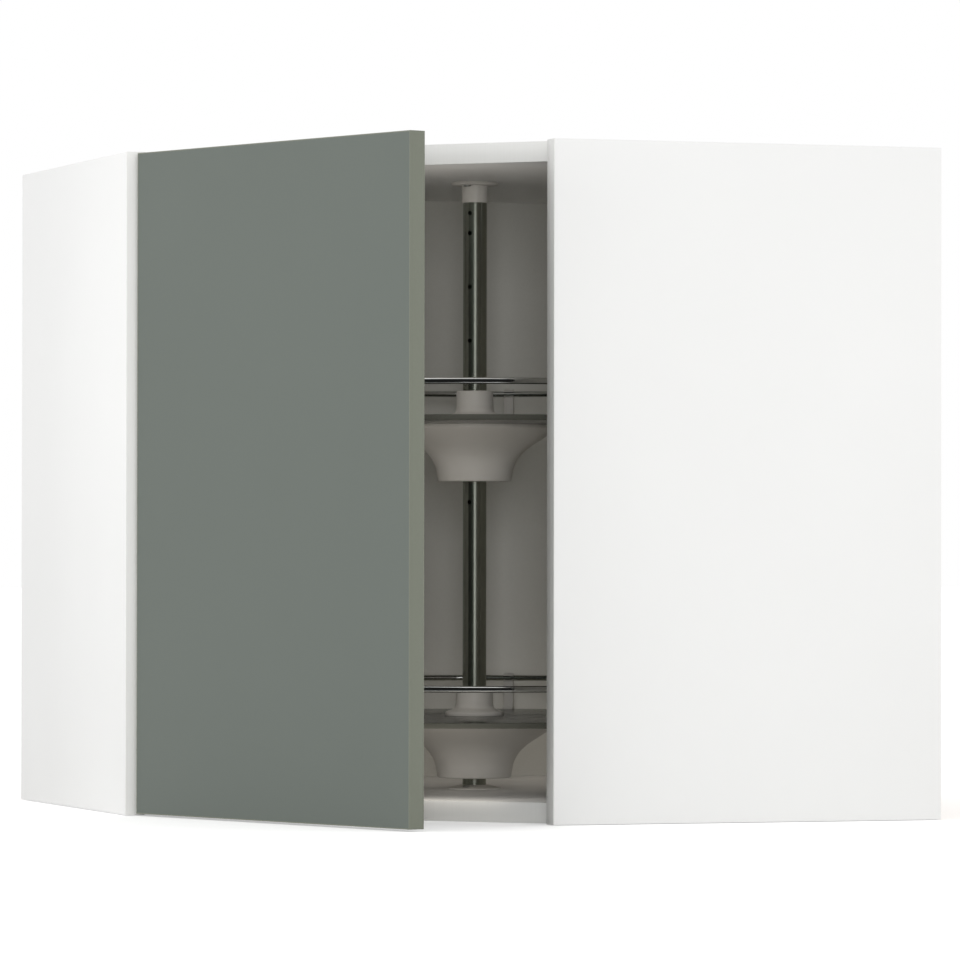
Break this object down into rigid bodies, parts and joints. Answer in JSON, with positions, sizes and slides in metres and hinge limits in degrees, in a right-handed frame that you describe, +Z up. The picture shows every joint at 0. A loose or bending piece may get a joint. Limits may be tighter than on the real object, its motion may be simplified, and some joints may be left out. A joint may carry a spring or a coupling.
{
  "type": "corner wall cabinet with carousel shelves",
  "caption": "Diagonal-front corner wall cabinet with a hinged grey-green door and round rotating shelves with chrome rails on a steel pole.",
  "frame": {"origin": "the rear corner of the cabinet on its underside, where the two walls of the room meet", "axes": "+Z up; the wall behind is the plane y = 0 and the wall on the right is the plane x = 0, so the diagonal door faces between -X and -Y"},
  "size_m": [0.67, 0.7446, 0.6],
  "materials": {
    "white_foil": "smooth white foil on particleboard",
    "white_fibreboard": "thin fibreboard with a white painted face",
    "pine": "planed softwood",
    "beech": "fluted beech, plain",
    "green_grey_laminate": "matt grey-green laminate on particleboard",
    "zinc": "die-cast zinc, plain",
    "zinc_steel": "bright zinc-plated steel",
    "hinge_steel": "nickel-plated pressed steel",
    "dark_chrome": "polished dark chrome on steel tube",
    "chrome": "bright chrome on steel rod",
    "pale_plastic": "pale grey moulded plastic",
    "white_nylon": "white nylon",
    "clear_bumper": "soft pale bumper",
    "smoked_shelf": "tempered glass, tinted grey, with polished edges"
  },
  "bodies": {
    "cabinet": {"left_side_panel": "white_foil", "right_side_panel": "white_foil", "top_panel": "white_foil", "bottom_panel": "white_foil", "left_rear_panel": "white_fibreboard", "right_rear_panel": "white_fibreboard", "rear_corner_post": "pine", "panel_dowels": "beech", "cam_housings": "zinc", "cam_bolts": "zinc_steel", "wall_brackets": "zinc_steel", "bracket_screws": "zinc_steel", "hinge_mounting_plates": "hinge_steel", "hinge_plate_screws": "zinc_steel", "hinge_arms": "hinge_steel", "hinge_arm_screws": "zinc_steel", "hinge_arm_pins": "zinc_steel", "pole": "dark_chrome", "pole_top_socket": "pale_plastic", "pole_base_socket": "pale_plastic", "pole_socket_screws": "zinc_steel", "shelf_pins": "zinc_steel", "thrust_rings": "white_nylon"},
    "hinge_links": {"hinge_links": "hinge_steel"},
    "door": {"door_panel": "green_grey_laminate", "hinge_cups": "hinge_steel", "hinge_cup_pins": "zinc_steel", "hinge_cup_screws": "zinc_steel", "door_bumpers": "clear_bumper"},
    "lower_carousel": {"lower_shelf": "smoked_shelf", "lower_cone": "pale_plastic", "lower_hub": "pale_plastic", "lower_bush": "white_nylon", "lower_hub_screws": "zinc_steel", "lower_rail": "chrome", "lower_rail_posts": "pale_plastic"},
    "upper_carousel": {"upper_shelf": "smoked_shelf", "upper_cone": "pale_plastic", "upper_hub": "pale_plastic", "upper_bush": "white_nylon", "upper_hub_screws": "zinc_steel", "upper_rail": "chrome", "upper_rail_posts": "pale_plastic"}
  },
  "joints": [
    {"name": "door_hinge", "type": "hinge", "parent": "cabinet", "child": "door", "pos_m": [-0.66077, -0.34679, 0], "axis": [0, 0, -1], "range_deg": [-25, 85]},
    {"name": "hinge_link_swing", "type": "hinge", "parent": "cabinet", "child": "hinge_links", "pos_m": [-0.6471, -0.34679, 0], "axis": [0, 0, -1], "range_deg": [-25, 85]},
    {"name": "lower_carousel_spin", "type": "hinge", "parent": "cabinet", "child": "lower_carousel", "pos_m": [-0.32, -0.32, 0], "axis": [0, 0, 1], "continuous": true},
    {"name": "upper_carousel_spin", "type": "hinge", "parent": "cabinet", "child": "upper_carousel", "pos_m": [-0.32, -0.32, 0], "axis": [0, 0, 1], "continuous": true}
  ],
  "couplings": [
    {"joint": "hinge_link_swing", "follows": "door_hinge", "ratio": 1}
  ]
}
